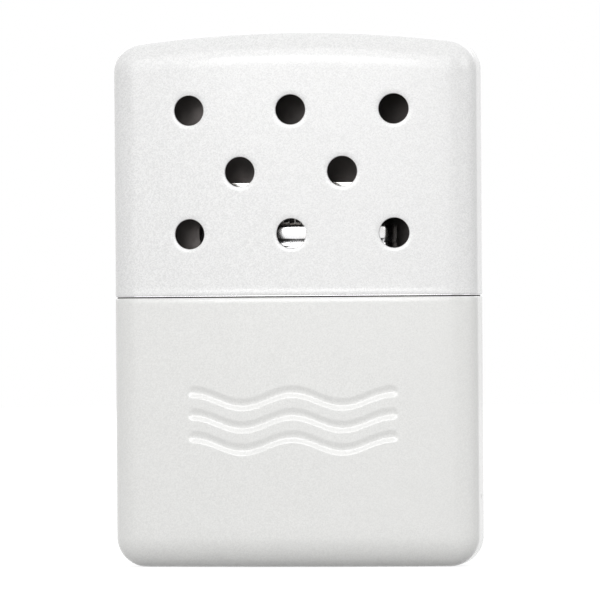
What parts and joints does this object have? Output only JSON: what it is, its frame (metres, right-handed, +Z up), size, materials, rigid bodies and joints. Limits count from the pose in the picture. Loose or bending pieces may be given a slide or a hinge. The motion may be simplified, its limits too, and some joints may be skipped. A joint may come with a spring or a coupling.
{
  "type": "catalytic hand warmer",
  "caption": "Flat pocket warmer with a lift-off vented cover over a plug-on catalytic burner, on a lacquered fuel tank with a plated deck and an oval filler neck.",
  "frame": {"origin": "middle of the bottom, on the surface that the case stands on", "axes": "+Z up through the cover, -Y out of the front face with the vents, +X to the right as seen from the front"},
  "size_m": [0.0508, 0.013, 0.0741],
  "materials": {
    "cover_lacquer": "pearl white lacquer, satin gloss",
    "tank_lacquer": "pearl white lacquer, satin gloss",
    "deck_plating": "bright plated steel",
    "neck_plating": "bright plated steel",
    "neck_screen": "punched steel",
    "felt": "wool felt",
    "cotton": "cotton wadding",
    "skirt_plating": "bright plated steel",
    "vapour_plate": "punched steel, heat tinted",
    "cage_plating": "bright plated steel, slightly heat tinted",
    "screen_wire": "woven steel wire",
    "catalyst": "platinum-coated glass fibre mat",
    "former_steel": "punched steel strip"
  },
  "bodies": {
    "tank": {"tank_shell": "tank_lacquer", "tank_deck": "deck_plating", "filler_neck": "neck_plating", "neck_screen": "neck_screen", "felt_pad": "felt", "upper_cotton": "cotton", "lower_cotton": "cotton"},
    "burner": {"burner_skirt": "skirt_plating", "vapour_plate": "vapour_plate", "burner_cage": "cage_plating", "front_screen": "screen_wire", "rear_screen": "screen_wire", "catalyst_mat": "catalyst", "mat_former": "former_steel"},
    "cover": {"cover_shell": "cover_lacquer"}
  },
  "joints": [
    {"name": "cover_pull", "type": "slide", "parent": "tank", "child": "cover", "axis": [0, 0, 1], "range_m": [0, 0.05]},
    {"name": "burner_pull", "type": "slide", "parent": "tank", "child": "burner", "axis": [0, 0, 1], "range_m": [0, 0.014]}
  ]
}
